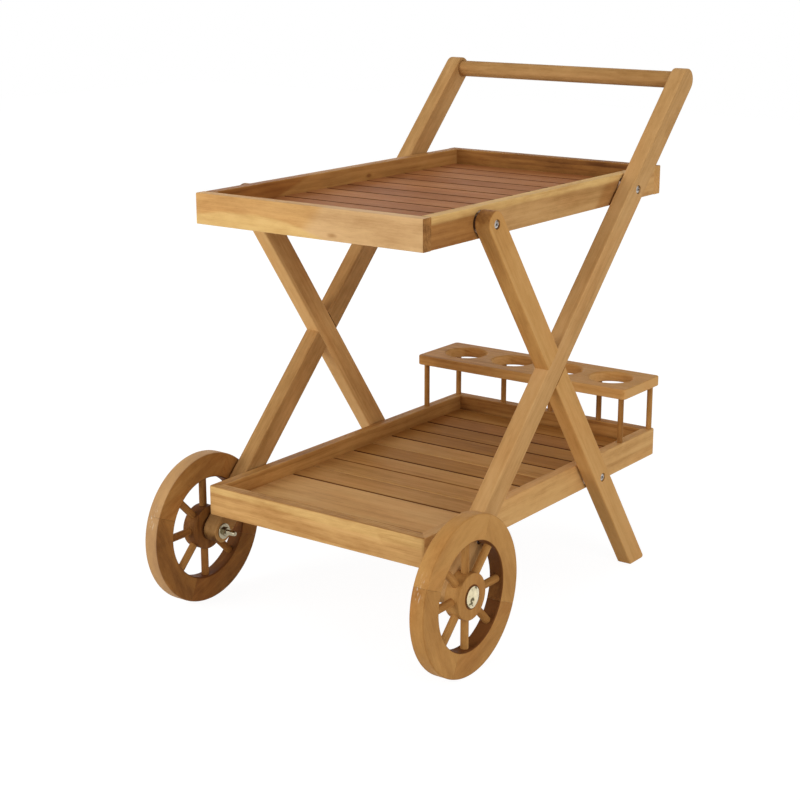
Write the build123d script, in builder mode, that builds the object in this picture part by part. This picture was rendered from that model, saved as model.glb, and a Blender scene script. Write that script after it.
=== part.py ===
from build123d import *
import os
from math import atan2, cos, degrees, hypot, radians, sin, tan

os.makedirs("parts", exist_ok=True)

# A bar cart: two crossed side frames carry two slatted trays, a bottle rack stands on the lower tray,
# a round push handle joins the tops of the frames, and two spoked wheels turn on bolts at the front.
# Sizes are in millimetres. +Z is up, +Y points to the push handle, +X is one side of the cart.
# The origin is on the floor under the middle of the overall box.

# Whole cart
overall_height = 813.0
overall_depth = 799.0

# Tray rims
tray_width = 407.0
rim_height = 46.0
rail_thickness = 18.0
end_board_thickness = 20.0
rim_round = 1.8
upper_tray_top = 658.0
upper_tray_front = -322.0
upper_tray_length = 674.0
lower_tray_top = 205.0
lower_tray_front = -315.0
lower_tray_length = 686.0
lower_corner_round = 6.0

# Tray floors
floor_drop = 25.0
slat_count = 12
slat_thickness = 10.0
slat_gap = 3.0
slat_round = 1.5
batten_width = 18.0
batten_height = 10.0

# Crossed side frames
bar_width = 38.0
bar_thickness = 25.5
bar_round = 2.5
frame_gap = 3.5
leg_angle = 54.4
foot_y = 270.8
foot_corner_round = 4.0

# Push handle
push_handle_diameter = 27.0
push_handle_let_in = 12.0
socket_ease = 0.8

# Bottle rack
rack_rise = 94.0
rack_length = 418.0
rack_depth = 123.5
rack_thickness = 17.0
rack_corner_round = 7.0
rack_edge_round = 2.0
bottle_hole_count = 4
bottle_hole_diameter = 73.0
bottle_hole_edge_round = 4.5
bottle_row_from_rear = 58.5
post_diameter = 9.5
post_socket_depth = 9.0
front_post_inset = 12.0
corner_post_inset = 7.0

# Wheels
wheel_radius = 120.0
rim_width = 39.0
rim_thickness = 24.0
rim_edge_round = 2.5
segment_count = 4
segment_joint = 0.25
spoke_count = 8
spoke_diameter = 12.0
spoke_hub_socket = 13.0
spoke_rim_socket = 14.0
hub_diameter = 70.0
hub_length = 25.0
hub_edge_round = 2.0

# Axle bolts with a domed head, spacers, washers and nuts
axle_bolt_diameter = 8.0
axle_bolt_end_ease = 1.0
dome_diameter = 32.0
dome_height = 5.0
dome_edge_height = 1.4
axle_spacer_diameter = 30.0
axle_spacer_thickness = 3.5
axle_washer_diameter = 25.0
axle_washer_thickness = 2.0
axle_nut_width = 13.0
axle_nut_height = 6.5
bolt_end_beyond_nut = 16.0

# Tray bolts, spacers and threaded inserts
tray_bolt_diameter = 6.0
tray_bolt_short_of_insert_end = 1.0
bolt_head_diameter = 14.0
bolt_head_height = 4.0
bolt_head_sink = 0.8
bolt_head_round = 0.6
hex_socket_width = 4.0
hex_socket_depth = 2.5
spacer_diameter = 35.0
insert_diameter = 9.0
insert_length = 13.0

# Fits
running_clearance = 0.1
seat_clearance = 0.2
wheel_end_play = 0.3

# Across the cart, from the middle outwards
tray_half = tray_width / 2
well_half = tray_half - rail_thickness
bar_inner = tray_half + frame_gap
lap_face = bar_inner + bar_thickness / 2
bar_outer = bar_inner + bar_thickness
hub_inner = bar_outer + axle_spacer_thickness + wheel_end_play
hub_outer = hub_inner + hub_length
wheel_middle = (hub_inner + hub_outer) / 2
sides = {"left": -1, "right": 1}

# Centre lines of the bars in the side view, as (y, z). Lean is the y that a bar gains per height.
axle_place = (wheel_radius - overall_depth / 2, wheel_radius)
push_handle_place = ((overall_depth - bar_width) / 2, overall_height - bar_width / 2)
handle_bar_reach = push_handle_place[0] - axle_place[0]
handle_bar_climb = push_handle_place[1] - axle_place[1]
handle_bar_angle = degrees(atan2(handle_bar_climb, handle_bar_reach))
handle_bar_lean = handle_bar_reach / handle_bar_climb
leg_lean = -1 / tan(radians(leg_angle))
lap_reach = 3 * bar_width


def on_handle_bar(height):
    """Point of the handle bar's centre line at a height above the floor."""
    return (axle_place[0] + (height - axle_place[1]) * handle_bar_lean, height)


def on_leg(height):
    """Point of the leg's centre line at a height above the floor."""
    return (foot_y + height * leg_lean, height)


crossing_height = (foot_y - on_handle_bar(0)[0]) / (handle_bar_lean - leg_lean)
crossing = on_leg(crossing_height)
upper_bolt_height = upper_tray_top - rim_height / 2
lower_bolt_height = lower_tray_top - rim_height / 2
handle_bar_bolts = [on_handle_bar(upper_bolt_height), on_handle_bar(lower_bolt_height)]
leg_bolts = [on_leg(upper_bolt_height), on_leg(lower_bolt_height)]


def save(piece, name):
    """Label a finished piece and write it to the parts folder."""
    piece.part.label = name
    export_step(piece.part, f"parts/{name}.step")


def facing(x, point, direction):
    """Plane at a (y, z) point of a side face, with its normal along x in the given direction."""
    return Plane(origin=(x, point[0], point[1]), x_dir=(0, 1, 0), z_dir=(direction, 0, 0))


def add_bar(side, first_end, second_end, angle):
    """Bar of a side frame, with half-round ends centred on two points."""
    length = hypot(second_end[0] - first_end[0], second_end[1] - first_end[1])
    middle = ((first_end[0] + second_end[0]) / 2, (first_end[1] + second_end[1]) / 2)
    with BuildSketch(Plane.YZ.offset(side * bar_inner)) as outline:
        with Locations(middle):
            SlotCenterToCenter(length, bar_width, rotation=angle)
    extrude(outline.sketch, amount=side * bar_thickness)


def cut_lap(x, side, other_bar_angle):
    """Housing for the other bar, half the thickness deep, outwards from x."""
    with BuildSketch(Plane.YZ.offset(side * x)) as housing:
        with Locations(crossing):
            Rectangle(lap_reach, bar_width, rotation=other_bar_angle)
    extrude(housing.sketch, amount=side * bar_thickness / 2, mode=Mode.SUBTRACT)


def drill_for_tray_bolts(side, points):
    """Clearance holes with recesses for the bolt heads, in the outer face of a bar."""
    with Locations(*[facing(side * bar_outer, point, side) for point in points]):
        CounterBoreHole(
            radius=tray_bolt_diameter / 2 + seat_clearance,
            counter_bore_radius=bolt_head_diameter / 2 + seat_clearance,
            counter_bore_depth=bolt_head_height + bolt_head_sink,
        )


# Side frames. Each leg is halved into its handle bar, and the two are flush on both faces.
# The handle bar runs on unbroken on the outer face, and the leg on the inner face.
for hand, side in sides.items():
    with BuildPart() as handle_bar:
        add_bar(side, axle_place, push_handle_place, handle_bar_angle)
        fillet(handle_bar.faces().filter_by(Axis.X).edges(), bar_round)
        cut_lap(bar_inner, side, -leg_angle)
        with Locations(facing(side * bar_inner, push_handle_place, -side)):
            CounterSinkHole(
                radius=push_handle_diameter / 2 + running_clearance,
                counter_sink_radius=push_handle_diameter / 2 + running_clearance + socket_ease,
                depth=push_handle_let_in,
            )
        with Locations(facing(side * bar_outer, axle_place, side)):
            Hole(axle_bolt_diameter / 2 + running_clearance)
        drill_for_tray_bolts(side, handle_bar_bolts)
    save(handle_bar, f"handle_bar_{hand}")

    with BuildPart() as leg:
        add_bar(side, on_leg(-bar_width), leg_bolts[0], -leg_angle)
        split(bisect_by=Plane.XY, keep=Keep.TOP)
        fillet(leg.edges().filter_by(Axis.X).group_by(Axis.Z)[0], foot_corner_round)
        fillet(leg.faces().filter_by(Axis.X).edges(), bar_round)
        cut_lap(lap_face, side, handle_bar_angle)
        drill_for_tray_bolts(side, leg_bolts)
    save(leg, f"leg_{hand}")

# Push handle: a round rail let into blind sockets in both handle bars
push_handle_half = bar_inner + push_handle_let_in - seat_clearance
with BuildPart() as push_handle:
    with BuildSketch(Plane.YZ.offset(-push_handle_half)):
        with Locations(push_handle_place):
            Circle(push_handle_diameter / 2)
    extrude(amount=2 * push_handle_half)
save(push_handle, "push_handle")


def drill_for_inserts(side, points):
    """Blind holes for the threaded inserts, in the outer face of a tray rail."""
    with Locations(*[facing(side * tray_half, point, side) for point in points]):
        Hole(insert_diameter / 2 + running_clearance, insert_length + seat_clearance)


# Upper tray rim: the end boards run the full width and show their end grain at the sides.
upper_tray_rear = upper_tray_front + upper_tray_length
upper_middle = (upper_tray_front + upper_tray_rear) / 2
upper_bottom = Plane.XY.offset(upper_tray_top - rim_height)
upper_ends = {
    "front": upper_tray_front + end_board_thickness / 2,
    "rear": upper_tray_rear - end_board_thickness / 2,
}
for end, board_y in upper_ends.items():
    with BuildPart() as upper_board:
        with BuildSketch(upper_bottom):
            with Locations((0, board_y)):
                Rectangle(tray_width, end_board_thickness)
        extrude(amount=rim_height)
        fillet(upper_board.edges().filter_by(Axis.X), rim_round)
    save(upper_board, f"upper_{end}_board")

for hand, side in sides.items():
    with BuildPart() as upper_rail:
        with BuildSketch(upper_bottom):
            with Locations((side * (tray_half - rail_thickness / 2), upper_middle)):
                Rectangle(rail_thickness, upper_tray_length - 2 * end_board_thickness)
        extrude(amount=rim_height)
        fillet(upper_rail.edges().filter_by(Axis.Y), rim_round)
        drill_for_inserts(side, [handle_bar_bolts[0], leg_bolts[0]])
    save(upper_rail, f"upper_{hand}_rail")

# Bottle rack places, which the lower tray's rim has to meet. The four corner posts stand on the side rails.
lower_tray_rear = lower_tray_front + lower_tray_length
rack_front = lower_tray_rear - rack_depth
rack_underside = lower_tray_top + rack_rise - rack_thickness
corner_post_x = tray_half - corner_post_inset
bottle_pitch = 2 * corner_post_x / bottle_hole_count
rear_post_y = lower_tray_rear - end_board_thickness / 2
rear_posts = [(i * bottle_pitch - corner_post_x, rear_post_y) for i in range(bottle_hole_count + 1)]
front_posts = [(side * corner_post_x, rack_front + front_post_inset) for side in sides.values()]
posts = rear_posts + front_posts


def drill_for_posts(height, direction):
    """Blind sockets for the rack's posts, in a face that looks up or down."""
    sockets = [Plane(origin=(x, y, height), z_dir=(0, 0, direction)) for x, y in posts]
    with Locations(*sockets):
        Hole(post_diameter / 2 + running_clearance, post_socket_depth)


# Lower tray rim: the boards meet in mitres, and the outer corners are rounded.
def mitred_outline(mitre_corners):
    """Plan of one board of the lower rim, cut off at its two mitres."""
    with BuildSketch(Plane.XY.offset(lower_tray_top - rim_height)) as outline:
        with Locations((0, (lower_tray_front + lower_tray_rear) / 2)):
            RectangleRounded(tray_width, lower_tray_length, lower_corner_round)
            Rectangle(2 * well_half, lower_tray_length - 2 * end_board_thickness, mode=Mode.SUBTRACT)
        with BuildLine():
            Polyline(*mitre_corners, close=True)
        make_face(mode=Mode.INTERSECT)
    return outline.sketch


lower_ends = {
    "front": (lower_tray_front, lower_tray_front + end_board_thickness),
    "rear": (lower_tray_rear, lower_tray_rear - end_board_thickness),
}
for end, (outer_y, inner_y) in lower_ends.items():
    with BuildPart() as lower_board:
        corners = [(-tray_half, outer_y), (tray_half, outer_y), (well_half, inner_y), (-well_half, inner_y)]
        extrude(mitred_outline(corners), amount=rim_height)
        fillet(lower_board.edges().filter_by(Axis.X), rim_round)
        drill_for_posts(lower_tray_top, 1)
    save(lower_board, f"lower_{end}_board")

for hand, side in sides.items():
    with BuildPart() as lower_rail:
        corners = [(side * tray_half, outer_y) for outer_y, inner_y in lower_ends.values()]
        corners += [(side * well_half, inner_y) for outer_y, inner_y in reversed(lower_ends.values())]
        extrude(mitred_outline(corners), amount=rim_height)
        fillet(lower_rail.edges().filter_by(Axis.Y), rim_round)
        drill_for_posts(lower_tray_top, 1)
        drill_for_inserts(side, [handle_bar_bolts[1], leg_bolts[1]])
    save(lower_rail, f"lower_{hand}_rail")

# Tray floors: slats across the width, laid on three battens that run from front to rear
batten_places = {
    "left": batten_width / 2 - well_half,
    "centre": 0.0,
    "right": well_half - batten_width / 2,
}


def make_floor(tray, well_front, well_rear, slat_top, slat_places):
    """Slats and battens of one tray. Each slat fills one place of the floor, or more."""
    place_length = (well_rear - well_front) / sum(slat_places)
    slat_half_length = well_half - seat_clearance
    slat_front = well_front
    for number, places in enumerate(slat_places, start=1):
        slat_rear = slat_front + places * place_length
        with BuildPart() as slat:
            with BuildSketch(Plane.YZ.offset(-slat_half_length)):
                with Locations(((slat_front + slat_rear) / 2, slat_top - slat_thickness / 2)):
                    RectangleRounded(slat_rear - slat_front - slat_gap, slat_thickness, slat_round)
            extrude(amount=2 * slat_half_length)
        save(slat, f"{tray}_slat_{number:02d}")
        slat_front = slat_rear
    for place, x in batten_places.items():
        with BuildPart() as batten:
            with BuildSketch(Plane.XY.offset(slat_top - slat_thickness)):
                with Locations((x, (well_front + well_rear) / 2)):
                    Rectangle(batten_width, well_rear - well_front)
            extrude(amount=-batten_height)
        save(batten, f"{tray}_{place}_batten")


# The second slat of the lower floor is a wide one that takes two places.
make_floor(
    tray="upper",
    well_front=upper_tray_front + end_board_thickness,
    well_rear=upper_tray_rear - end_board_thickness,
    slat_top=upper_tray_top - floor_drop,
    slat_places=[1] * slat_count,
)
make_floor(
    tray="lower",
    well_front=lower_tray_front + end_board_thickness,
    well_rear=lower_tray_rear - end_board_thickness,
    slat_top=lower_tray_top - floor_drop,
    slat_places=[1, 2] + [1] * (slat_count - 3),
)

# Bottle rack: a board with a row of round holes, on thin posts let into the rim below and the board.
# The holes' upper edges are rounded more than the board's other edges, so that bottles slip in, as far
# as the wood between the last hole and the board's end allows.
bottle_end_wall = (rack_length - (bottle_hole_count - 1) * bottle_pitch - bottle_hole_diameter) / 2
bottle_hole_round = min(bottle_hole_edge_round, bottle_end_wall - rack_edge_round - seat_clearance)
with BuildPart() as rack_board:
    with BuildSketch(Plane.XY.offset(rack_underside)):
        with Locations((0, (rack_front + lower_tray_rear) / 2)):
            RectangleRounded(rack_length, rack_depth, rack_corner_round)
        with Locations((0, lower_tray_rear - bottle_row_from_rear)):
            with GridLocations(bottle_pitch, 0, bottle_hole_count, 1):
                Circle(bottle_hole_diameter / 2, mode=Mode.SUBTRACT)
    extrude(amount=rack_thickness)
    fillet(rack_board.faces().sort_by(Axis.Z)[-1].inner_wires().edges(), bottle_hole_round)
    board_bottom, board_top = rack_board.faces().filter_by(Axis.Z).sort_by(Axis.Z)
    fillet(board_top.outer_wire().edges() + board_bottom.edges(), rack_edge_round)
    drill_for_posts(rack_underside, -1)
save(rack_board, "rack_board")

with BuildPart() as rack_posts:
    with BuildSketch(Plane.XY.offset(lower_tray_top - post_socket_depth + seat_clearance)):
        with Locations(*posts):
            Circle(post_diameter / 2)
    extrude(amount=rack_rise - rack_thickness + 2 * (post_socket_depth - seat_clearance))
save(rack_posts, "rack_posts")

# Wheels: a rim glued up from segments, a thick hub, and spokes let into both.
# The joints of the rim fall midway between two spokes.
spoke_inner_end = hub_diameter / 2 - spoke_hub_socket
spoke_outer_end = wheel_radius - rim_width + spoke_rim_socket
spoke_pitch = 360 / spoke_count
first_joint_turn = 1.5 * spoke_pitch
rim_middle_radius = wheel_radius - rim_width / 2
axle_bore = axle_bolt_diameter + 2 * running_clearance
axle_axis = Axis((0, *axle_place), (1, 0, 0))
axle_section = Plane(origin=(0, *axle_place), x_dir=(1, 0, 0), z_dir=(0, -1, 0))


def spoke_ends(side, radius, distance_out):
    """A circle for each spoke of a wheel, on planes square to the spokes."""
    end_planes = []
    for i in range(spoke_count):
        turn = radians(i * spoke_pitch)
        outwards = (0, cos(turn), sin(turn))
        spoke_plane = Plane(origin=(side * wheel_middle, *axle_place), x_dir=(1, 0, 0), z_dir=outwards)
        end_planes.append(spoke_plane.offset(distance_out))
    with BuildSketch(*end_planes) as ends:
        Circle(radius)
    return ends.sketch


for hand, side in sides.items():
    rods = spoke_ends(side, spoke_diameter / 2, spoke_inner_end)
    with BuildPart() as spokes:
        extrude(rods, amount=spoke_outer_end - spoke_inner_end)
    save(spokes, f"wheel_{hand}_spokes")

    sockets = spoke_ends(side, spoke_diameter / 2 + running_clearance, spoke_inner_end - seat_clearance)
    socket_run = spoke_outer_end - spoke_inner_end + 2 * seat_clearance
    with BuildPart() as rim:
        with BuildSketch(axle_section):
            with Locations((side * wheel_middle, rim_middle_radius)):
                RectangleRounded(rim_thickness, rim_width, rim_edge_round)
        revolve(axis=axle_axis)
        with BuildSketch(Plane.YZ.offset(side * wheel_middle)):
            with Locations(axle_place):
                with PolarLocations(rim_middle_radius, segment_count, start_angle=first_joint_turn):
                    Rectangle(2 * rim_width, segment_joint)
        extrude(amount=rim_thickness, both=True, mode=Mode.SUBTRACT)
        extrude(sockets, amount=socket_run, mode=Mode.SUBTRACT)
    save(rim, f"wheel_{hand}_rim")

    with BuildPart() as hub:
        with BuildSketch(Plane.YZ.offset(side * hub_inner)):
            with Locations(axle_place):
                Circle(hub_diameter / 2)
        extrude(amount=side * hub_length)
        fillet(hub.edges().filter_by(GeomType.CIRCLE), hub_edge_round)
        extrude(sockets, amount=socket_run, mode=Mode.SUBTRACT)
        with Locations(facing(side * hub_outer, axle_place, side)):
            Hole(axle_bore / 2)
    save(hub, f"wheel_{hand}_hub")


# Fasteners
def on_both_sides(x, points, direction):
    """Planes at points of both side faces. They look away from the cart where direction is 1."""
    return [facing(side * x, point, side * direction) for side in sides.values() for point in points]


def make_rings(faces, outer_diameter, bore, length):
    """Round rings of one size that stand on the given planes."""
    with BuildPart() as rings:
        with BuildSketch(*faces):
            Circle(outer_diameter / 2)
            Circle(bore / 2, mode=Mode.SUBTRACT)
        extrude(amount=length)
    return rings


# Axle bolts: the domed head holds the wheel on, and the shank runs through the hub and the bar.
dome_seat = hub_outer + wheel_end_play
dome_edge = dome_seat + dome_edge_height
dome_top = dome_seat + dome_height
axle_nut_seat = bar_inner - axle_washer_thickness
axle_bolt_tip = axle_nut_seat - axle_nut_height - bolt_end_beyond_nut
with BuildPart() as axle_bolts:
    for side in sides.values():
        with BuildSketch(axle_section):
            with BuildLine():
                Polyline(
                    (side * dome_top, 0),
                    (side * axle_bolt_tip, 0),
                    (side * axle_bolt_tip, axle_bolt_diameter / 2 - axle_bolt_end_ease),
                    (side * (axle_bolt_tip + axle_bolt_end_ease), axle_bolt_diameter / 2),
                    (side * dome_seat, axle_bolt_diameter / 2),
                    (side * dome_seat, dome_diameter / 2),
                    (side * dome_edge, dome_diameter / 2),
                )
                TangentArc(
                    (side * dome_top, 0),
                    (side * dome_edge, dome_diameter / 2),
                    tangent=(0, 1),
                    tangent_from_first=True,
                )
            make_face()
        revolve(axis=axle_axis)
save(axle_bolts, "axle_bolts")

outer_axle_places = on_both_sides(bar_outer, [axle_place], 1)
axle_spacers = make_rings(outer_axle_places, axle_spacer_diameter, axle_bore, axle_spacer_thickness)
save(axle_spacers, "axle_spacers")
inner_axle_places = on_both_sides(bar_inner, [axle_place], -1)
axle_washers = make_rings(inner_axle_places, axle_washer_diameter, axle_bore, axle_washer_thickness)
save(axle_washers, "axle_washers")

with BuildPart() as axle_nuts:
    with BuildSketch(*on_both_sides(axle_nut_seat, [axle_place], -1)):
        RegularPolygon(axle_nut_width / 2, side_count=6, major_radius=False)
        Circle(axle_bore / 2, mode=Mode.SUBTRACT)
    extrude(amount=axle_nut_height)
save(axle_nuts, "axle_nuts")

# Tray bolts: each head is sunk into a bar, and the shank ends in a threaded insert inside the tray rail.
tray_bolt_places = handle_bar_bolts + leg_bolts
bolt_head_top = bar_outer - bolt_head_sink
bolt_head_seat = bolt_head_top - bolt_head_height
tray_bolt_end = tray_half - insert_length + tray_bolt_short_of_insert_end
with BuildPart() as tray_bolts:
    with BuildSketch(*on_both_sides(bolt_head_seat, tray_bolt_places, 1)):
        Circle(bolt_head_diameter / 2)
    extrude(amount=bolt_head_height)
    fillet(tray_bolts.edges().group_by(lambda edge: abs(edge.center().X))[-1], bolt_head_round)
    with BuildSketch(*on_both_sides(bolt_head_top, tray_bolt_places, -1)):
        RegularPolygon(hex_socket_width / 2, side_count=6, major_radius=False)
    extrude(amount=hex_socket_depth, mode=Mode.SUBTRACT)
    with BuildSketch(*on_both_sides(bolt_head_seat, tray_bolt_places, -1)):
        Circle(tray_bolt_diameter / 2)
    extrude(amount=bolt_head_seat - tray_bolt_end)
save(tray_bolts, "tray_bolts")

tray_spacer_places = on_both_sides(tray_half, tray_bolt_places, 1)
spacer_bore = tray_bolt_diameter + 2 * seat_clearance
save(make_rings(tray_spacer_places, spacer_diameter, spacer_bore, frame_gap), "tray_spacers")
insert_places = on_both_sides(tray_half, tray_bolt_places, -1)
insert_bore = tray_bolt_diameter + 2 * running_clearance
save(make_rings(insert_places, insert_diameter, insert_bore, insert_length), "threaded_inserts")
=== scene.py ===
"""A teak bar cart: finishes for its wood and metal, its small fasteners, and the pale studio it stands in."""
import logging
import math
from collections.abc import Callable
from dataclasses import dataclass
from enum import Enum

import bpy
from mathutils import Matrix, Vector


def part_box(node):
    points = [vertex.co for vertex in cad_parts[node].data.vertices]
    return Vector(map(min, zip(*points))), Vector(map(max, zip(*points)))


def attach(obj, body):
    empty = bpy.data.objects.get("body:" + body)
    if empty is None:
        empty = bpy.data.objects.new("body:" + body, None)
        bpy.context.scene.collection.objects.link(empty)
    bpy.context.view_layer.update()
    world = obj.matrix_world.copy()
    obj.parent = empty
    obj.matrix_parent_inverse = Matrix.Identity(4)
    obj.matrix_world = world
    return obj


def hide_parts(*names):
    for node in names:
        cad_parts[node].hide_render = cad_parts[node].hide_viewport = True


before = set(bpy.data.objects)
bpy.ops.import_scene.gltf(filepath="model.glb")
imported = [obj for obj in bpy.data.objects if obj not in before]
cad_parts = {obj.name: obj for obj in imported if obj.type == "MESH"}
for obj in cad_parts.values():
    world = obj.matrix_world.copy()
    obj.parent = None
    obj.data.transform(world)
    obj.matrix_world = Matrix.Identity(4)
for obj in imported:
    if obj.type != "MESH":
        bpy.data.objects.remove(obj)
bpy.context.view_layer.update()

log = logging.getLogger("bar_cart")
MM = 0.001
MERGE = 1e-6
HAIR = 0.01
SIDES: dict[str, int] = {"left": -1, "right": 1}
NODES: dict[str, bpy.types.Object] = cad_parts
X_AXIS, Y_AXIS, Z_AXIS = Vector((1, 0, 0)), Vector((0, 1, 0)), Vector((0, 0, 1))
Triple = tuple[float, float, float]
Colour = tuple[float, float, float, float]
WHITE: Colour = (1.0, 1.0, 1.0, 1.0)


# Shader maths

def swatch(red: int, green: int, blue: int) -> Colour:
    """Turn a colour as it is seen into the values that shaders take.

    Args:
        red, green, blue: the colour, each from 0 to 255.

    Returns:
        Linear red, green and blue, and full alpha.
    """
    parts = []
    for part in (red, green, blue):
        value = part / 255
        parts.append(value / 12.92 if value <= 0.04045 else ((value + 0.055) / 1.055) ** 2.4)
    return (*parts, 1.0)


@dataclass(frozen=True)
class Pattern:
    """A soft random pattern, with its size along, across and through the grain in millimetres."""

    size: Triple
    detail: float = 2.0


class Recipe:
    """The nodes of one finish."""

    def __init__(self, tree: bpy.types.NodeTree) -> None:
        """Start with an empty tree.

        Args:
            tree: the node tree of a material or of the world.
        """
        self.tree = tree
        self.tree.nodes.clear()

    def node(
        self, kind: str, settings: dict[str, object], inputs: dict[str | int, object]
    ) -> bpy.types.Node:
        """Add a node.

        Args:
            kind: the node's type.
            settings: its properties, and "stops" for the places and colours of a ramp.
            inputs: a number, colour, socket or level for each socket, by name or by place.

        Returns:
            The node.
        """
        made = self.tree.nodes.new(kind)
        for name, value in settings.items():
            if name != "stops":
                setattr(made, name, value)
                continue
            stops = made.color_ramp.elements
            while len(stops) < len(value):
                stops.new(1.0)
            for stop, (place, colour) in zip(stops, value):
                stop.position = place
                stop.color = colour
        for name, value in inputs.items():
            source = value.socket if isinstance(value, Level) else value
            if isinstance(source, bpy.types.NodeSocket):
                self.tree.links.new(source, made.inputs[name])
            else:
                made.inputs[name].default_value = source
        return made

    def maths(self, operation: str, *values: "Level | float") -> "Level":
        """Level from one Math node.

        Args:
            operation: the node's operation.
            values: its inputs in order.

        Returns:
            The result.
        """
        made = self.node("ShaderNodeMath", {"operation": operation}, dict(enumerate(values)))
        return Level(self, made.outputs[0])

    def vector(self, operation: str, *values: object) -> bpy.types.Node:
        """Vector Math node with the given inputs in order."""
        return self.node("ShaderNodeVectorMath", {"operation": operation}, dict(enumerate(values)))

    def split(self, point: object) -> tuple["Level", ...]:
        """The three parts of a vector."""
        parts = self.node("ShaderNodeSeparateXYZ", {}, {0: point})
        return tuple(Level(self, part) for part in parts.outputs)

    def join(self, *parts: object) -> bpy.types.NodeSocket:
        """Vector from its three parts."""
        return self.node("ShaderNodeCombineXYZ", {}, dict(enumerate(parts))).outputs[0]

    def in_millimetres(self, point: object) -> bpy.types.NodeSocket:
        """Point that is given in metres, in millimetres."""
        scaled = self.node("ShaderNodeVectorMath", {"operation": "SCALE"}, {0: point, "Scale": 1 / MM})
        return scaled.outputs[0]

    def cloud(self, place: object, pattern: Pattern, shift: object) -> "Level":
        """Soft random level that is stretched along the grain.

        Args:
            place: the point, in millimetres in the board's own frame.
            pattern: how large and how fine it is.
            shift: vector that moves the pattern, so that no two boards are alike.

        Returns:
            A level around 0, mostly between -0.3 and 0.3.
        """
        moved = self.vector("MULTIPLY_ADD", place, tuple(1 / size for size in pattern.size), shift).outputs[0]
        noise = self.node("ShaderNodeTexNoise", {}, {"Vector": moved, "Scale": 1.0, "Detail": pattern.detail})
        return Level(self, noise.outputs[0]) - 0.5

    def mix(self, factor: object, first: object, second: object, blend: str = "MIX") -> bpy.types.NodeSocket:
        """Colour between two others.

        Args:
            factor: 0 for the first colour, 1 for the second.
            first, second: the colours.
            blend: how the second colour is laid over the first.

        Returns:
            The mixed colour's socket.
        """
        settings = {"data_type": "RGBA", "clamp_factor": True, "blend_type": blend}
        return self.node("ShaderNodeMix", settings, {0: factor, 6: first, 7: second}).outputs[2]


@dataclass(frozen=True)
class Level:
    """A number that changes over a surface, which arithmetic can be written on."""

    recipe: Recipe
    socket: bpy.types.NodeSocket

    def __add__(self, other: "Level | float") -> "Level":
        """Sum."""
        return self.recipe.maths("ADD", self, other)

    def __radd__(self, other: float) -> "Level":
        """Sum with a number on the left."""
        return self.recipe.maths("ADD", other, self)

    def __sub__(self, other: "Level | float") -> "Level":
        """Difference."""
        return self.recipe.maths("SUBTRACT", self, other)

    def __rsub__(self, other: float) -> "Level":
        """Difference from a number."""
        return self.recipe.maths("SUBTRACT", other, self)

    def __mul__(self, other: "Level | float") -> "Level":
        """Product."""
        return self.recipe.maths("MULTIPLY", self, other)

    def __rmul__(self, other: float) -> "Level":
        """Product with a number on the left."""
        return self.recipe.maths("MULTIPLY", other, self)

    def __truediv__(self, other: "Level | float") -> "Level":
        """Quotient."""
        return self.recipe.maths("DIVIDE", self, other)

    def __rtruediv__(self, other: float) -> "Level":
        """Quotient of a number."""
        return self.recipe.maths("DIVIDE", other, self)

    def __abs__(self) -> "Level":
        """Size without sign."""
        return self.recipe.maths("ABSOLUTE", self)

    def rise(self, low: float, high: float) -> "Level":
        """Smooth step from 0 at low to 1 at high. It falls where low is the larger."""
        lower, upper = min(low, high), max(low, high)
        step = self.recipe.node(
            "ShaderNodeMapRange",
            {"interpolation_type": "SMOOTHSTEP"},
            {0: self, 1: lower, 2: upper, 3: float(low > high), 4: float(low < high)},
        )
        return Level(self.recipe, step.outputs[0])


def span(first: Level, second: Level) -> Level:
    """Length of the diagonal over two levels."""
    return first.recipe.maths("SQRT", first * first + second * second)


def new_finish(name: str) -> tuple[bpy.types.Material, Recipe]:
    """New material and the empty recipe of its nodes."""
    material = bpy.data.materials.new(name)
    material.use_nodes = True
    return material, Recipe(material.node_tree)


# Finishes

RAMP_PLACES = (0.0, 0.38, 0.72, 1.0)
SEED_STEP = (3.7, -5.3, 8.1)
SECOND_SHIFT = (41.7, 12.9, -28.4)
SIDE_TURN, END_TURN = (0.25, 0.85), (0.55, 0.95)
LATE_WOOD_START, LATE_WOOD_END = (0.25, 0.9), (1.0, 0.93)
PORE_EDGE, FLUSH_EDGE = (0.09, 0.2), (-0.06, 0.2)
FLUSH_TINT: Colour = (1.0, 0.87, 0.76, 1.0)
# Pale of real scuffs; it also paints light on the left wheel's tread.
SCUFF_AND_LIGHT_PALE = swatch(226, 212, 190)

SWAY = Pattern((240.0, 60.0, 60.0))
ROLL = Pattern((180.0, 45.0, 45.0))
STREAK = Pattern((420.0, 11.0, 11.0), 3.0)
BLOTCH = Pattern((130.0, 38.0, 38.0), 1.0)
MOTTLE = Pattern((24.0, 7.0, 7.0), 3.0)
FIBRE = Pattern((55.0, 1.3, 1.3), 3.0)
PORES = Pattern((9.0, 0.45, 0.45), 1.0)
FLUSH = Pattern((170.0, 50.0, 50.0), 1.0)
BAND_EDGE = Pattern((70.0, 30.0, 30.0))
SCRATCH = Pattern((6.0, 30.0, 1.3), 3.0)
METAL_GRAIN = Pattern((0.35, 0.35, 0.35))


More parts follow.
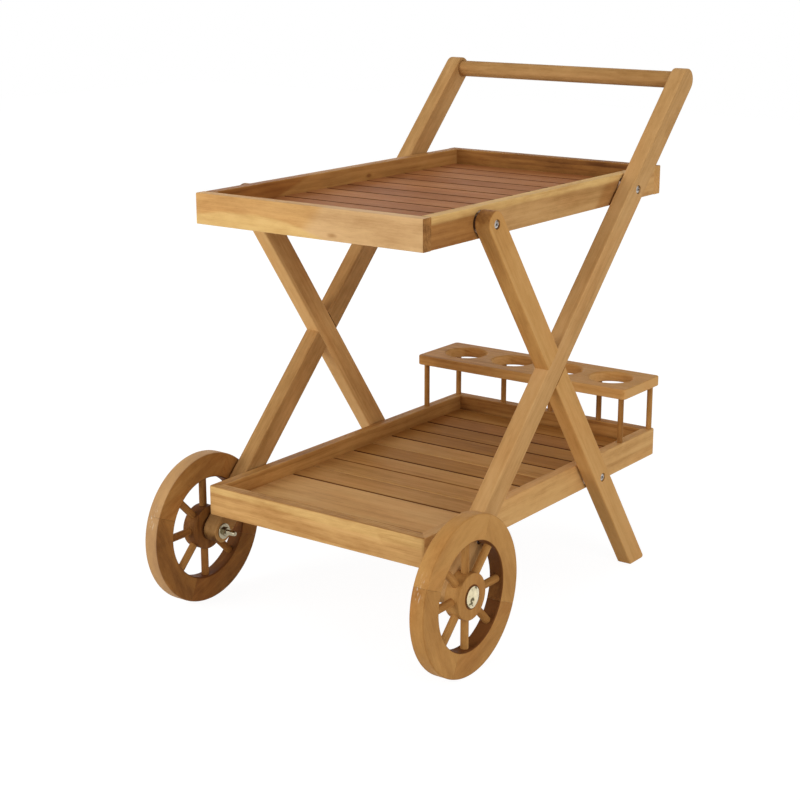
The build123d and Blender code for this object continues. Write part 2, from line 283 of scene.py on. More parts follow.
class Hue(Enum):
    """Families of teak colour, each from its pale wood to its deepest."""

    STRAW = (swatch(238, 204, 142), swatch(222, 182, 116), swatch(190, 142, 82), swatch(142, 96, 50))
    SAND = (swatch(230, 194, 144), swatch(214, 174, 124), swatch(182, 140, 92), swatch(124, 88, 52))
    HONEY = (swatch(226, 184, 124), swatch(210, 163, 102), swatch(176, 127, 72), swatch(118, 78, 40))
    GOLD = (swatch(208, 160, 99), swatch(190, 141, 80), swatch(156, 107, 54), swatch(106, 65, 31))
    TAN = (swatch(212, 170, 116), swatch(194, 149, 94), swatch(160, 117, 66), swatch(108, 73, 40))
    CHESTNUT = (swatch(184, 131, 72), swatch(160, 107, 53), swatch(128, 79, 37), swatch(84, 48, 22))
    RUSSET = (swatch(192, 134, 84), swatch(168, 110, 64), swatch(136, 82, 44), swatch(88, 48, 24))
    BROWN = (swatch(186, 135, 71), swatch(164, 114, 56), swatch(130, 84, 38), swatch(86, 51, 23))

    def paint(self, recipe: Recipe, dark: Level) -> bpy.types.NodeSocket:
        """Colour of this family at a darkness from 0 to 1."""
        stops = list(zip(RAMP_PLACES, self.value))
        return recipe.node("ShaderNodeValToRGB", {"stops": stops}, {0: dark}).outputs[0]


class Cut(Enum):
    """How a board was sawn: where the heart of the log lies from the board's middle.

    It is given across and through the board, in millimetres.
    """

    FLAT = (9.0, -46.0)
    RIFT = (52.0, -58.0)
    QUARTER = (96.0, -10.0)


@dataclass(frozen=True)
class Knot:
    """A small knot that the grain flows round, in millimetres from the board's middle."""

    along: float
    across: float
    radius: float
    depth: float = 0.32
    swell: float = 2.2
    swirl: tuple[float, float] = (3.2, 1.5)

    def push(self, along: Level, across: Level) -> Level:
        """How far the knot moves the rings outwards, in millimetres."""
        length, width = (self.radius * share for share in self.swirl)
        reach = span((along - self.along) / length, (across - self.across) / width)
        return self.swell * self.radius / (1 + reach * reach * 1.5)

    def core(self, along: Level, across: Level) -> Level:
        """Darkening of the knot's own wood, which is twice as long as it is wide."""
        reach = span((along - self.along) / 2, across - self.across)
        return reach.rise(self.radius * 1.9, self.radius * 0.2) * self.depth


@dataclass(frozen=True)
class Sapwood:
    """A band of other wood along one edge of a board.

    Its border is an arch over the line between two points, in millimetres.
    """

    start: tuple[float, float]
    end: tuple[float, float]
    side: int
    strength: float = 0.8
    hue: Hue = Hue.STRAW
    wave: float = 12.0
    bow: float = 0.0
    soft: float = 4.0

    def share(self, along: Level, across: Level, sway: Level) -> Level:
        """How much of the wood is of this band.

        Args:
            along, across: the point on the board, in millimetres.
            sway: soft random level that the border follows.

        Returns:
            The level, from 0 outside the band to 1 inside it.
        """
        (start_along, start_across), (end_along, end_across) = self.start, self.end
        way = (along - start_along) / (end_along - start_along)
        border = way * (end_across - start_across) + start_across + way * (1 - way) * 4 * self.bow
        return ((across - border) * float(self.side) + sway * self.wave).rise(-self.soft, self.soft)


@dataclass(frozen=True)
class Board:
    """Where a piece of wood lies, and how large its section is.

    The grain runs along one direction. The section's width is measured in millimetres across the wide
    face, and its thickness through it.
    """

    middle: Vector
    along: Vector
    across: Vector
    width: float
    thickness: float

    @classmethod
    def of_node(cls, name: str, along: Vector, across: Vector) -> "Board":
        """Board that fills the box of a part of the frame.

        Args:
            name: the part.
            along: direction of the grain.
            across: direction across the wide face.

        Returns:
            The board.
        """
        low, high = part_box(name)
        size = (high - low) / MM
        through = along.cross(across)
        width, thickness = (
            sum(abs(part) * extent for part, extent in zip(way, size)) for way in (across, through)
        )
        return cls(middle_of(name), along, across, width, thickness)

    def place(self, recipe: Recipe) -> bpy.types.NodeSocket:
        """Point on the surface in the board's own frame, in millimetres.

        Args:
            recipe: the finish that needs it.

        Returns:
            The point's socket.
        """
        axes = Matrix((self.along, self.across, self.along.cross(self.across))).transposed()
        point = recipe.node("ShaderNodeTexCoord", {}, {}).outputs["Object"]
        turned = {"Vector": point, "Location": self.middle, "Rotation": axes.to_euler(), "Scale": (MM,) * 3}
        return recipe.node("ShaderNodeMapping", {"vector_type": "TEXTURE"}, turned).outputs[0]


@dataclass(frozen=True)
class Teak:
    """Oiled teak, as one board of it looks."""

    hue: Hue
    cut: Cut = Cut.RIFT
    seed: float = 0.0
    tone: float = 0.4
    ring: float = 5.5
    ring_depth: float = 0.11
    faintest_ring: float = 0.35
    ring_spread: float = 0.9
    streak_depth: float = 0.6
    fibre_depth: float = 0.22
    blush: float = 0.35
    figure: float = 11.0
    lean: tuple[float, float] = (0.02, 0.015)
    mottle_depth: float = 0.3
    blotch_depth: float = 0.45
    pore_depth: float = 0.09
    specular: float = 0.06
    roughness: float = 0.58
    relief: float = 0.35
    relief_height: float = 0.0004
    # Lightening of the arrises: above zero partly wear and partly painted highlight, below zero painted shade.
    arris: float = 0.12
    # Darkening of the faces that look one way and the other across the board: painted shade, and painted light
    # where below zero.
    sides: tuple[float, float] = (0.0, 0.0)
    end_depth: float = 0.4
    drift: float = 0.0
    knots: tuple[Knot, ...] = ()
    bands: tuple[Sapwood, ...] = ()

    def shade(
        self,
        recipe: Recipe,
        place: bpy.types.NodeSocket,
        endwise: Level | float = 0.0,
        edge: Level | float = 0.0,
        shift: object = (0.0, 0.0, 0.0),
        extra: Level | float = 0.0,
        scuffs_and_light: Level | float = 0.0,
    ) -> None:
        """Make the wood's nodes and end them in the material's output.

        Args:
            recipe: the finish.
            place: the point in the board's own frame, in millimetres.
            endwise: 1 where the surface cuts across the fibres.
            edge: 1 on the arrises.
            shift: vector that moves every pattern.
            extra: darkening that is added to the tone; callers pass painted shade through it.
            scuffs_and_light: 1 where the surface is scuffed pale, and where a pale painted light lies on a
                wheel's tread.
        """
        along, across, _ = recipe.split(place)
        seeds = recipe.vector("ADD", shift, tuple(self.seed * step for step in SEED_STEP)).outputs[0]
        other_seeds = recipe.vector("ADD", seeds, SECOND_SHIFT).outputs[0]
        ring = self.rings(recipe, place, seeds, other_seeds)
        streak = recipe.cloud(place, STREAK, other_seeds)
        blotch = recipe.cloud(place, BLOTCH, seeds)
        mottle = recipe.cloud(place, MOTTLE, seeds)
        fibre = recipe.cloud(place, FIBRE, seeds)
        pores = recipe.cloud(place, PORES, other_seeds).rise(*PORE_EDGE)

        dark = self.tone + ring * self.ring_depth + streak * self.streak_depth + blotch * self.blotch_depth
        dark = dark + fibre * self.fibre_depth + mottle * self.mottle_depth + pores * self.pore_depth
        # Painted light and shade on the arrises, and painted shade that callers pass in as extra.
        dark = dark + endwise * self.end_depth - edge * self.arris + along * (self.drift * MM) + extra
        for knot in self.knots:
            dark = dark + knot.core(along, across)
        colour = self.hue.paint(recipe, dark)
        flush = recipe.cloud(place, FLUSH, other_seeds).rise(*FLUSH_EDGE) * self.blush
        colour = recipe.mix(flush, colour, FLUSH_TINT, "MULTIPLY")
        for band in self.bands:
            inside = band.share(along, across, recipe.cloud(place, BAND_EDGE, other_seeds))
            colour = recipe.mix(inside * band.strength * (1 - endwise), colour, band.hue.paint(recipe, dark))
        colour = recipe.mix(scuffs_and_light, colour, SCUFF_AND_LIGHT_PALE)

        height = fibre * 0.7 - pores * 0.5 - ring * 0.25
        relief = {"Strength": self.relief, "Distance": self.relief_height, "Height": height}
        surface = {
            "Base Color": colour,
            "Roughness": self.roughness + fibre * 0.25 + pores * 0.15,
            "Specular IOR Level": self.specular,
            "Normal": recipe.node("ShaderNodeBump", {}, relief).outputs[0],
        }
        wood = recipe.node("ShaderNodeBsdfPrincipled", {}, surface)
        recipe.node("ShaderNodeOutputMaterial", {}, {0: wood.outputs[0]})

    def rings(self, recipe: Recipe, place: object, seeds: object, other_seeds: object) -> Level:
        """Growth rings of the log, cut by the board's faces.

        Args:
            recipe: the finish.
            place: the point in the board's own frame, in millimetres.
            seeds, other_seeds: vectors that move the patterns.

        Returns:
            A level that is near 1 in the late wood of the strongest rings.
        """
        along, across, through = recipe.split(place)
        heart_across, heart_through = self.cut.value
        sway = recipe.cloud(place, SWAY, seeds) * self.figure
        roll = recipe.cloud(place, ROLL, other_seeds) * self.figure
        from_heart = span(
            across - heart_across - along * self.lean[0] + sway,
            through - heart_through - along * self.lean[1] + roll,
        )
        for knot in self.knots:
            from_heart = from_heart + knot.push(along, across)
        count = from_heart / self.ring
        inside_ring = recipe.maths("FRACT", count)
        late_wood = inside_ring.rise(*LATE_WOOD_START) * inside_ring.rise(*LATE_WOOD_END)
        number = {"W": recipe.maths("FLOOR", count)}
        each = recipe.node("ShaderNodeTexWhiteNoise", {"noise_dimensions": "1D"}, number)
        return late_wood * (self.faintest_ring + Level(recipe, each.outputs[0]) * self.ring_spread)

    def on_board(self, name: str, board: Board) -> bpy.types.Material:
        """Finish of a straight board.

        Args:
            name: name of the material.
            board: where the board lies.

        Returns:
            The material.
        """
        material, recipe = new_finish(name)
        place = board.place(recipe)
        _, across, through = recipe.split(place)
        edge = on_arris(abs(across), board.width / 2, abs(through), board.thickness / 2)
        # Painted shade, or painted light where negative, on the faces that look either way across the board.
        near, far = (facing(recipe, board.across * way).rise(*SIDE_TURN) for way in (-1, 1))
        sides = near * self.sides[0] + far * self.sides[1]
        self.shade(recipe, place, facing_along(recipe, board.along), edge, extra=sides)
        return material


def on_arris(first: Level, first_end: float, second: Level, second_end: float, reach: float = 2.0) -> Level:
    """Level that is 1 on the arris where two lengths both end, and falls to 0 within a reach of it.

    Args:
        first, second: the lengths, in millimetres.
        first_end, second_end: where each of them ends.
        reach: how wide the arris is.

    Returns:
        The level.
    """
    inner_first, inner_second = first - (first_end - reach), second - (second_end - reach)
    return first.recipe.maths("MINIMUM", inner_first, inner_second).rise(0.0, reach)


def facing(recipe: Recipe, direction: Vector) -> Level:
    """Cosine between the surface's normal and a direction.

    Args:
        recipe: the finish.
        direction: the direction, in the cart's frame.

    Returns:
        The level, from -1 to 1.
    """
    normal = recipe.node("ShaderNodeTexCoord", {}, {}).outputs["Normal"]
    return Level(recipe, recipe.vector("DOT_PRODUCT", normal, direction).outputs[1])


def facing_along(recipe: Recipe, direction: Vector) -> Level:
    """Level that is 1 where the surface faces along a direction or against it."""
    return abs(facing(recipe, direction)).rise(*END_TURN)


@dataclass(frozen=True)
class Metal:
    """Plated or polished metal with dark spots, which are partly tarnished metal and partly painted reflection
    of dark surroundings.
    """

    colour: Colour
    tarnish_and_painted_dark: Colour
    spot: float = 4.0
    spread: float = 0.14
    seed: float = 0.0
    roughness: float = 0.28

    def material(self, name: str) -> bpy.types.Material:
        """Make the metal.

        Args:
            name: name of the material.

        Returns:
            The material.
        """
        made, recipe = new_finish(name)
        place = recipe.in_millimetres(recipe.node("ShaderNodeTexCoord", {}, {}).outputs["Object"])
        shift = (3.1 + self.seed, 7.7 - self.seed, 1.3 + self.seed)
        cloudy = recipe.cloud(place, Pattern((self.spot,) * 3, 3.0), shift)
        fine = recipe.cloud(place, METAL_GRAIN, (9.1, 2.7, 5.3))
        # Painted reflection: dark spots and darker clouds stand in for dark surroundings seen in the metal,
        # besides tarnished patches.
        spots = cloudy.rise(self.spread - 0.05, self.spread + 0.03)
        painted_dark_clouds = (*(part * 0.8 for part in self.colour[:3]), 1.0)
        colour = recipe.mix(cloudy.rise(-0.25, 0.1), self.colour, painted_dark_clouds)
        bump = recipe.node("ShaderNodeBump", {}, {"Strength": 0.15, "Distance": 0.0001, "Height": fine})
        surface = {
            "Base Color": recipe.mix(spots, colour, self.tarnish_and_painted_dark),
            "Metallic": 1.0,
            "Roughness": self.roughness + spots * 0.3 + fine * 0.12,
            "Normal": bump.outputs[0],
        }
        shader = recipe.node("ShaderNodeBsdfPrincipled", {}, surface)
        recipe.node("ShaderNodeOutputMaterial", {}, {0: shader.outputs[0]})
        return made


# Modelling

def choose_faces(piece: bpy.types.Object, wanted: Callable[[bpy.types.MeshPolygon], bool]) -> None:
    """Open a piece in edit mode with some of its faces selected.

    Args:
        piece: the piece, in object mode.
        wanted: says of a face whether it is selected.
    """
    clear_choice("FACE")
    for face in piece.data.polygons:
        face.select = wanted(face)
    bpy.ops.object.mode_set(mode="EDIT")


def choose_edges(piece: bpy.types.Object, wanted: Callable[[Vector, Vector], bool]) -> None:
    """Open a piece in edit mode with some of its edges selected.

    Args:
        piece: the piece, in object mode.
        wanted: says of an edge, by its two ends, whether it is selected.
    """
    clear_choice("EDGE")
    points = piece.data.vertices
    for edge in piece.data.edges:
        edge.select = wanted(*(points[end].co for end in edge.vertices))
    bpy.ops.object.mode_set(mode="EDIT")


def clear_choice(kind: str) -> None:
    """Select nothing of the active piece, and pick FACE or EDGE for what is selected next."""
    bpy.ops.object.mode_set(mode="EDIT")
    bpy.ops.mesh.select_mode(type=kind)
    bpy.ops.mesh.select_all(action="DESELECT")
    bpy.ops.object.mode_set(mode="OBJECT")


def pick(piece: bpy.types.Object, *others: bpy.types.Object) -> None:
    """Make a piece active, and select it together with others and nothing else."""
    bpy.ops.object.select_all(action="DESELECT")
    for chosen in (piece, *others):
        chosen.select_set(True)
    bpy.context.view_layer.objects.active = piece


def raise_face(height: float) -> None:
    """Extrude the selected face along the Z axis, by millimetres."""
    bpy.ops.mesh.extrude_region_move(TRANSFORM_OT_translate={"value": (0, 0, height * MM)})


def turn_piece(name: str, corners: int, steps: list[tuple[float, float]]) -> bpy.types.Object:
    """Turned form on the Z axis, drawn up from a flat disc one ring at a time.

    Args:
        name: name of the piece.
        corners: how many corners each ring has.
        steps: radius and height of each ring, in millimetres.

    Returns:
        The piece, in edit mode with its last face selected.
    """
    radius, height = steps[0]
    bpy.ops.object.select_all(action="DESELECT")
    bpy.ops.mesh.primitive_circle_add(
        vertices=corners, radius=radius * MM, fill_type="NGON", location=(0, 0, height * MM)
    )
    bpy.ops.object.transform_apply(location=True, rotation=True, scale=True)
    piece = bpy.context.object
    piece.name = piece.data.name = name
    choose_faces(piece, lambda face: True)
    for next_radius, next_height in steps[1:]:
        raise_face(next_height - height)
        share = next_radius / radius
        bpy.ops.transform.resize(value=(share, share, 1), center_override=(0, 0, 0))
        radius, height = next_radius, next_height
    return piece


def make_ring(
    name: str, corners: int, diameter: float, bore: float, height: float, ease: float
) -> bpy.types.Object:
    """Ring on the Z axis, from the origin to a height, with eased outer edges.

    Args:
        name: name of the piece.
        corners: how many corners it has.
        diameter, bore: outer and inner diameter, in millimetres.
        height: thickness in millimetres, below 0 where the ring hangs down.
        ease: width of the eased edges.

    Returns:
        The ring.
    """
    piece = turn_piece(name, corners, [(diameter / 2, 0.0), (diameter / 2, height)])
    bpy.ops.object.mode_set(mode="OBJECT")
    choose_faces(piece, lambda face: abs(face.normal.z) > 0.9)
    bpy.ops.mesh.inset(thickness=(diameter - bore) / 2 * MM)
    bpy.ops.mesh.bridge_edge_loops()
    bpy.ops.object.mode_set(mode="OBJECT")
    outer = diameter / 2 * MM * 0.98
    choose_edges(piece, lambda a, b: min(a.xy.length, b.xy.length) > outer and abs(a.z - b.z) < MERGE)
    bpy.ops.mesh.bevel(offset=ease * MM, segments=2)
    finish_piece(piece)
    return piece


def cut_away(piece: bpy.types.Object, cutter: bpy.types.Object, operation: str) -> None:
    """Shape a piece with another one, which is used up.

    Args:
        piece: the piece that stays.
        cutter: the piece that goes.
        operation: DIFFERENCE or INTERSECT.
    """
    pick(piece)
    cut = piece.modifiers.new("cut", "BOOLEAN")
    cut.operation = operation
    cut.solver = "EXACT"
    cut.object = cutter
    bpy.ops.object.modifier_apply(modifier=cut.name)
    bpy.data.objects.remove(cutter)


def finish_piece(piece: bpy.types.Object, smooth_angle: float = 30.0) -> None:
    """Merge doubles, point the faces outwards and shade the round faces smooth."""
    bpy.ops.object.mode_set(mode="OBJECT")
    pick(piece)
    bpy.ops.object.mode_set(mode="EDIT")
    bpy.ops.mesh.select_all(action="SELECT")
    bpy.ops.mesh.remove_doubles(threshold=MERGE)
    bpy.ops.mesh.normals_make_consistent(inside=False)
    bpy.ops.object.mode_set(mode="OBJECT")
    bpy.ops.object.shade_smooth_by_angle(angle=math.radians(smooth_angle))


def set_in_place(piece: bpy.types.Object, point: Vector, outward: Vector, spin: float = 0.0) -> None:
    """Stand a piece, which was made along the Z axis, at a point, and put its place into its mesh.

    Args:
        piece: the piece.
        point: where its origin goes.
        outward: where its Z axis goes.
        spin: turn about its own axis, in degrees.
    """
    pick(piece)
    turn = outward.to_track_quat("Z", "Y").to_matrix() @ Matrix.Rotation(math.radians(spin), 3, "Z")
    piece.matrix_world = Matrix.Translation(point) @ turn.to_4x4()
    bpy.ops.object.transform_apply(location=True, rotation=True, scale=True)


def dress(piece: bpy.types.Object, material: bpy.types.Material) -> None:
    """Give a piece one material all over."""
    piece.data.materials.clear()
    piece.data.materials.append(material)


def fit(piece: bpy.types.Object, body: str, node: str | None, material: bpy.types.Material) -> None:
    """Dress a new piece and hand it to the frame.

    Args:
        piece: the piece.
        body: body that it moves with.
        node: part of the frame that it stands for, if any.
        material: its finish.
    """
    dress(piece, material)
    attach(piece, body)
    if node:
        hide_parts(node)


def middle_of(node: str) -> Vector:
    """Middle of a part's box."""
    low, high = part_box(node)
    return (low + high) / 2


# Sub-assemblies

@dataclass
class SideFrame:
    """The crossed handle bar and leg of one side."""

    hand: str
    looks: dict[str, Teak]
    bar_width: float = 38.0
    bar_thickness: float = 25.5
    leg_angle: float = 54.4

    def direction(self, name: str) -> Vector:
        """Direction of a bar's grain, from its lower end."""
        if name == "leg":
            lean = math.radians(self.leg_angle)
            return Vector((0, -math.cos(lean), math.sin(lean)))
        reach = middle_of("push_handle") - middle_of(f"wheel_{self.hand}_hub")
        return Vector((0, reach.y, reach.z)).normalized()

    def finish(self) -> None:
        """Dress both bars."""
        for name, look in self.looks.items():
            node = f"{name}_{self.hand}"
            along = self.direction(name)
            board = Board(middle_of(node), along, along.cross(X_AXIS), self.bar_width, self.bar_thickness)
            dress(NODES[node], look.on_board(f"teak_{node}", board))
            log.info("%s: finish on %s", type(self).__name__, node)


@dataclass
class Boards:
    """Straight boards that lie square to the cart, with the look of each."""

    title: str
    looks: dict[str, Teak]
    along: Vector
    across: Vector

    def finish(self) -> None:
        """Dress every board."""
        for node, look in self.looks.items():
            board = Board.of_node(node, self.along, self.across)
            dress(NODES[node], look.on_board(f"teak_{node}", board))
        log.info("%s: finish on %d boards", self.title, len(self.looks))


@dataclass
class Rods:
    """Round rods turned from one kind of teak."""

    node: str
    along: Vector
    look: Teak

    def finish(self) -> None:
        """Dress the rods. Rods of one part differ by where they stand."""
        material, recipe = new_finish(f"teak_{self.node}")
        across = self.along.orthogonal().normalized()
        place = Board.of_node(self.node, self.along, across).place(recipe)
        self.look.shade(recipe, place, facing_along(recipe, self.along))
        dress(NODES[self.node], material)
        log.info("Rods: finish on %s", self.node)


@dataclass(frozen=True)
class Sector:
    """A point of a wheel, turned back with its whole sector to the first sector."""

    number: Level
    angle: Level
    point: bpy.types.NodeSocket
    normal: bpy.types.NodeSocket


@dataclass
class Wheel:
    """A wheel: rim glued up from four segments, spokes and hub."""

    hand: str
    rim_look: Teak
    spoke_look: Teak
    hub_look: Teak
    radius: float = 120.0
    rim_width: float = 39.0
    rim_thickness: float = 24.0
    spoke_count: int = 8
    segment_count: int = 4
    first_segment: float = 22.5
    lower_segment: float = 2.5
    lower_depth: float = 0.12
    # Painted shade on the rim's inner surface, which faces the axle.
    painted_inner_shade: float = 0.55
    # Painted shade on the rim's faces, for a wheel that stands in the cart's shade.
    painted_face_shade: float = 0.0
    # Painted light: an even pale laid over the whole tread, where the light falls on it.
    painted_tread_light: float = 0.0
    worn_at: float = 158.0
    worn_reach: tuple[float, float] = (0.975, 0.999)
    worn_width: tuple[float, float] = (8.0, 3.0)
    scratch_depth: float = 0.6
    end_share: float = 0.3
    # Where the painted shadow round the dome starts and ends, in millimetres from the axle, and how dark it
    # is.
    dome_shadow_edges: tuple[tuple[float, float], ...] = ((19.5, 16.5), (14.0, 15.0))
    dome_shadow_depth: float = 0.9
    segment_shift: Triple = (17.3, 9.1, -6.7)
    spoke_shift: Triple = (7.9, 11.3, 5.1)

    def sector(self, recipe: Recipe, count: int, first: float) -> Sector:
        """Turn every sector of the wheel back to the first one.

        Args:
            recipe: the finish.
            count: how many sectors there are.
            first: where the middle of the first one lies, in degrees from +Y.

        Returns:
            The sector's number, the angle from +Y, the turned point in millimetres from the axle, and the
            turned normal.
        """
        coords = recipe.node("ShaderNodeTexCoord", {}, {})
        axle = middle_of(f"wheel_{self.hand}_hub")
        point = recipe.vector("SUBTRACT", coords.outputs["Object"], axle).outputs[0]
        _, y, z = recipe.split(point)
        angle = recipe.maths("ARCTAN2", z, y)
        pitch = 2 * math.pi / count
        number = recipe.maths("ROUND", (angle - math.radians(first)) / pitch)
        back = (number * pitch + math.radians(first)) * -1.0
        about_axle = {"rotation_type": "X_AXIS"}
        turned_point, turned_normal = (
            recipe.node("ShaderNodeVectorRotate", about_axle, {"Vector": source, "Angle": back}).outputs[0]
            for source in (point, coords.outputs["Normal"])
        )
        wrapped = recipe.maths("WRAP", number, float(count), 0.0)
        return Sector(wrapped, angle, recipe.in_millimetres(turned_point), turned_normal)

    def finish(self) -> None:
        """Dress the rim, the spokes and the hub."""
        for part, shade in (("rim", self.shade_rim), ("spokes", self.shade_spokes), ("hub", self.shade_hub)):
            node = f"wheel_{self.hand}_{part}"
            material, recipe = new_finish(f"teak_{node}")
            shade(recipe)
            dress(NODES[node], material)
        log.info("Wheel: finish on the %s wheel", self.hand)

    def shade_rim(self, recipe: Recipe) -> None:
        """Make the rim's finish. The grain of each segment runs across its middle radius."""
        sector = self.sector(recipe, self.segment_count, self.first_segment)
        x, y, z = recipe.split(sector.point)
        middle_radius, inner_radius = self.radius - self.rim_width / 2, self.radius - self.rim_width
        place = recipe.join(z, y - middle_radius, x)
        axial, _, tangent = recipe.split(sector.normal)
        endwise = abs(tangent).rise(0.55, 1.0) * self.end_share
        reach = span(y, z)
        edge = on_arris(abs(reach - middle_radius), self.rim_width / 2, abs(x), self.rim_thickness / 2)
        shift = recipe.join(*(sector.number * share for share in self.segment_shift))
        lower = (abs(sector.number - self.lower_segment) * -1.0).rise(-1.2, -0.8)
        # Painted shade on the rim's inner surface, which faces the axle.
        inside = reach.rise(inner_radius + 2.0, inner_radius + 0.5)
        # Painted shade on the rim's faces, for the wheel in the cart's shade.
        face = abs(axial).rise(0.5, 0.9)
        extra = lower * self.lower_depth + inside * self.painted_inner_shade + face * self.painted_face_shade
        near = recipe.maths("COSINE", sector.angle - math.radians(self.worn_at)).rise(*self.worn_reach)
        scratch = recipe.cloud(place, SCRATCH, (5.0, 2.0, 8.0)).rise(0.07, 0.16)
        tread = reach.rise(self.radius - 1.5, self.radius - 0.5)
        scuffs = scratch * near * abs(x).rise(*self.worn_width) * self.scratch_depth
        # Real scuffs near one place on the tread, plus painted light over the whole tread.
        scuffs_and_light = (scuffs + self.painted_tread_light) * tread
        self.rim_look.shade(recipe, place, endwise, edge, shift, extra, scuffs_and_light)

    def shade_spokes(self, recipe: Recipe) -> None:
        """Make the spokes' finish, whose grain runs outwards."""
        sector = self.sector(recipe, self.spoke_count, 0.0)
        x, y, z = recipe.split(sector.point)
        shift = recipe.join(*(sector.number * share for share in self.spoke_shift))
        self.spoke_look.shade(recipe, recipe.join(y, x, z), shift=shift)

    def shade_hub(self, recipe: Recipe) -> None:
        """Make the hub's finish, with its grain across the axle and a painted shadow ring round the bolt's
        dome.
        """
        place = Board.of_node(f"wheel_{self.hand}_hub", Z_AXIS, Y_AXIS).place(recipe)
        reach = span(*recipe.split(place)[:2])
        outer, inner = (reach.rise(*edge) for edge in self.dome_shadow_edges)
        # Painted shadow: a dark ring on the hub round the bolt's dome.
        seat = outer * inner * self.dome_shadow_depth
        self.hub_look.shade(recipe, place, facing_along(recipe, Z_AXIS) * 0.5, extra=seat)


@dataclass
class Axles:
    """Bolts that the wheels turn on, each with a domed head, a spacer, a washer and a nut."""

    plating: Metal
    dome_plating: Metal
    corners: int = 64
    bolt_diameter: float = 8.0
    dome_diameter: float = 32.0
    dome_edge: float = 1.4
    dome_steps: int = 12
    thread_pitch: float = 1.25
    thread_depth: float = 0.6
    tip_ease: float = 0.4
    cap_share: float = 0.6
    rim_tolerance: float = 0.05
    nut_width: float = 13.0
    nut_turn: float = 11.0
    chamfer_slope: float = 0.58
    cutter_room: float = 0.2
    bore_room: float = 0.2
    washer_room: float = 0.4
    ring_ease: float = 0.4

    def build(self) -> None:
        """Make the pieces of both axles and fit them."""
        metal = self.plating.material("zinc_axle")
        dome_metal = self.dome_plating.material("zinc_dome")
        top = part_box("axle_bolts")[1].x / MM
        seat = top - self.dome_height()
        for hand, side in SIDES.items():
            outward = Vector((side, 0, 0))
            axle = middle_of(f"wheel_{hand}_hub") * Vector((0, 1, 1))
            nut_inner, nut_outer = self.reach("axle_nuts", hand)
            bolt = self.bolt(f"axle_bolt_{hand}", top, seat, self.reach("axle_bolts", hand)[0], nut_outer)
            set_in_place(bolt, axle, outward)
            fit(bolt, "cart", "axle_bolts", dome_metal)
            bolt.data.materials.append(metal)
            for face in bolt.data.polygons:
                face.material_index = int(abs(face.center.x) < (seat - HAIR) * MM)
            nut = self.nut(f"axle_nut_{hand}", nut_outer - nut_inner)
            set_in_place(nut, axle + outward * nut_outer * MM, -outward, self.nut_turn * side)
            fit(nut, "cart", "axle_nuts", metal)
            for part in ("axle_washers", "axle_spacers"):
                inner, outer = self.reach(part, hand)
                low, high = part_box(part)
                across, bore = (high.z - low.z) / MM, self.bolt_diameter + self.washer_room
                name = f"{part[:-1]}_{hand}"
                ring = make_ring(name, self.corners, across, bore, outer - inner, self.ring_ease)
                set_in_place(ring, axle + outward * inner * MM, outward)
                fit(ring, "cart", part, metal)
            log.info("Axles: bolt, washer, nut and spacer of the %s wheel", hand)

    def reach(self, node: str, hand: str) -> tuple[float, float]:
        """Least and greatest distance of a part from the cart's middle plane, in millimetres, on one side."""
        outward = [point.co.x * SIDES[hand] / MM for point in NODES[node].data.vertices]
        return min(x for x in outward if x > 0), max(outward)

    def dome_height(self) -> float:
        """Height of the bolt's head above its seat, in millimetres."""
        axle = middle_of("wheel_right_hub")
        points = [point.co for point in NODES["axle_bolts"].data.vertices if point.co.x > 0]
        radii = [(point - axle).yz.length / MM for point in points]
        off_rim = [abs(radius - self.dome_diameter / 2) for radius in radii]
        rim = [point.x for point, gap in zip(points, off_rim) if gap < self.rim_tolerance]
        return (max(point.x for point in points) - min(rim)) / MM

    def bolt(self, name: str, top: float, seat: float, tip: float, thread_from: float) -> bpy.types.Object:
        """Carriage bolt along the Z axis.

        Args:
            name: name of the piece.
            top: height of the dome's top, in millimetres.
            seat: height of the head's seat.
            tip: height of the thread's end.
            thread_from: height at which the thread starts.

        Returns:
            The bolt.
        """
        radius, edge = self.dome_diameter / 2, seat + self.dome_edge
        rise = top - edge
        sphere = (radius * radius + rise * rise) / (2 * rise)
        opening = math.asin(radius / sphere)
        steps = [(radius, seat), (radius, edge)]
        for step in range(1, self.dome_steps):
            angle = opening * (1 - step / self.dome_steps)
            steps.append((sphere * math.sin(angle), edge + sphere * (math.cos(angle) - math.cos(opening))))
        piece = turn_piece(name, self.corners, steps)
        bpy.ops.mesh.inset(thickness=steps[-1][0] * self.cap_share * MM)
        bpy.ops.transform.translate(value=(0, 0, (top - steps[-1][1]) * MM))
        bpy.ops.object.mode_set(mode="OBJECT")
        pick(piece, self.shank(seat, tip, thread_from))
        bpy.ops.object.join()
        finish_piece(piece)
        return piece

    def shank(self, seat: float, tip: float, thread_from: float) -> bpy.types.Object:
        """Smooth shank and its thread, as one turned form.

        Args:
            seat: height of the head's seat, in millimetres.
            tip: height of the thread's end.
            thread_from: height at which the thread starts.

        Returns:
            The shank.
        """
        radius, pitch = self.bolt_diameter / 2, self.thread_pitch
        root = radius - self.thread_depth
        steps = [(radius, seat), (radius, thread_from)]
        height = thread_from
        while height - pitch > tip + pitch:
            steps += [(root, height - pitch / 2), (radius, height - pitch)]
            height -= pitch
        steps += [(root, tip + self.tip_ease / 2), (root - self.tip_ease, tip)]
        piece = turn_piece("shank", self.corners, steps)
        bpy.ops.object.mode_set(mode="OBJECT")
        return piece

